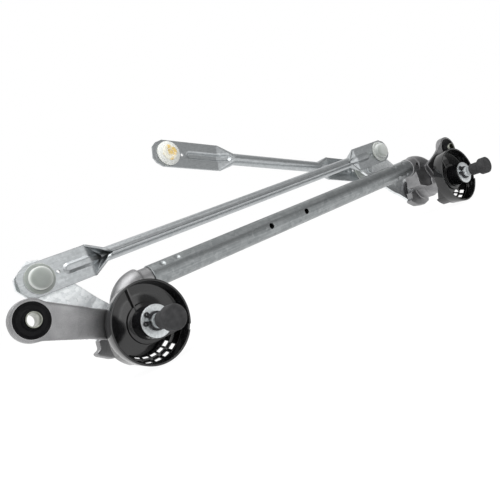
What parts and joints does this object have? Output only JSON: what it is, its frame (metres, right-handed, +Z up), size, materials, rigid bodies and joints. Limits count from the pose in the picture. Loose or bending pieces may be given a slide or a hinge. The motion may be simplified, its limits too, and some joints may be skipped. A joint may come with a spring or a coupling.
{
  "type": "wiper linkage",
  "caption": "Windscreen wiper linkage: tubular frame with cast pivot housings, drain cups, wiper shafts, cranks and pressed strip rods with snap-in ball sockets.",
  "frame": {"origin": "middle of the near ear's bolt sleeve, on its axis", "axes": "+X from the near pivot to the far one, along the frame tube; -Y out of the wiper shafts' free ends; +Z up, towards the coupling rod's side"},
  "size_m": [0.6213, 0.1443, 0.1967],
  "materials": {
    "galvanised_tube": "galvanised, satin",
    "cast_housing": "satin die casting",
    "gloss_cup": "gloss moulded",
    "black_rubber": "matt",
    "zinc_plate": "bright zinc plate",
    "sintered_bronze": "oiled sinter",
    "spring_steel": "black phosphate",
    "nylon": "satin",
    "milky_plastic": "milky, waxy",
    "rod_strip": "zinc-plated strip",
    "crank_plate": "bright mottled zinc"
  },
  "bodies": {
    "frame": {"frame_tube": "galvanised_tube", "near_housing": "cast_housing", "near_grommet": "black_rubber", "near_sleeve": "zinc_plate", "near_cup": "gloss_cup", "near_front_bush": "sintered_bronze", "near_rear_bush": "sintered_bronze", "near_shaft_seal": "black_rubber", "near_washer": "zinc_plate", "near_thrust_washer": "nylon", "far_housing": "cast_housing", "far_grommet": "black_rubber", "far_sleeve": "zinc_plate", "far_cup": "gloss_cup", "far_front_bush": "sintered_bronze", "far_rear_bush": "sintered_bronze", "far_shaft_seal": "black_rubber", "far_washer": "zinc_plate", "far_thrust_washer": "nylon"},
    "far_shaft": {"far_shaft": "zinc_plate", "far_circlip": "spring_steel", "far_cap": "black_rubber", "far_crank": "crank_plate", "far_ball_stud": "zinc_plate", "motor_ball_stud": "zinc_plate"},
    "near_shaft": {"near_shaft": "zinc_plate", "near_circlip": "spring_steel", "near_cap": "black_rubber", "near_crank": "crank_plate", "near_ball_stud": "zinc_plate"},
    "coupling_rod": {"coupling_rod": "rod_strip", "coupling_near_socket": "milky_plastic", "coupling_far_socket": "milky_plastic"},
    "motor_rod": {"motor_rod": "rod_strip", "motor_far_socket": "milky_plastic", "motor_free_socket": "milky_plastic"}
  },
  "joints": [
    {"name": "far_shaft_turn", "type": "hinge", "parent": "frame", "child": "far_shaft", "pos_m": [0.5609, 0, -0.0381], "axis": [0, -1, 0], "range_deg": [-80, 12]},
    {"name": "near_shaft_turn", "type": "hinge", "parent": "frame", "child": "near_shaft", "pos_m": [0.0819, 0, -0.0381], "axis": [0, -1, 0], "range_deg": [-80, 12]},
    {"name": "coupling_rod_swing", "type": "hinge", "parent": "far_shaft", "child": "coupling_rod", "pos_m": [0.51293, 0.0532, 0.02915], "axis": [0, -1, 0], "range_deg": [-12, 80]},
    {"name": "motor_rod_swing", "type": "hinge", "parent": "far_shaft", "child": "motor_rod", "pos_m": [0.49608, 0.0788, 0.01309], "axis": [0, -1, 0], "range_deg": [-120, 120]}
  ],
  "couplings": [
    {"joint": "near_shaft_turn", "follows": "far_shaft_turn", "ratio": 1},
    {"joint": "coupling_rod_swing", "follows": "far_shaft_turn", "ratio": -1}
  ]
}
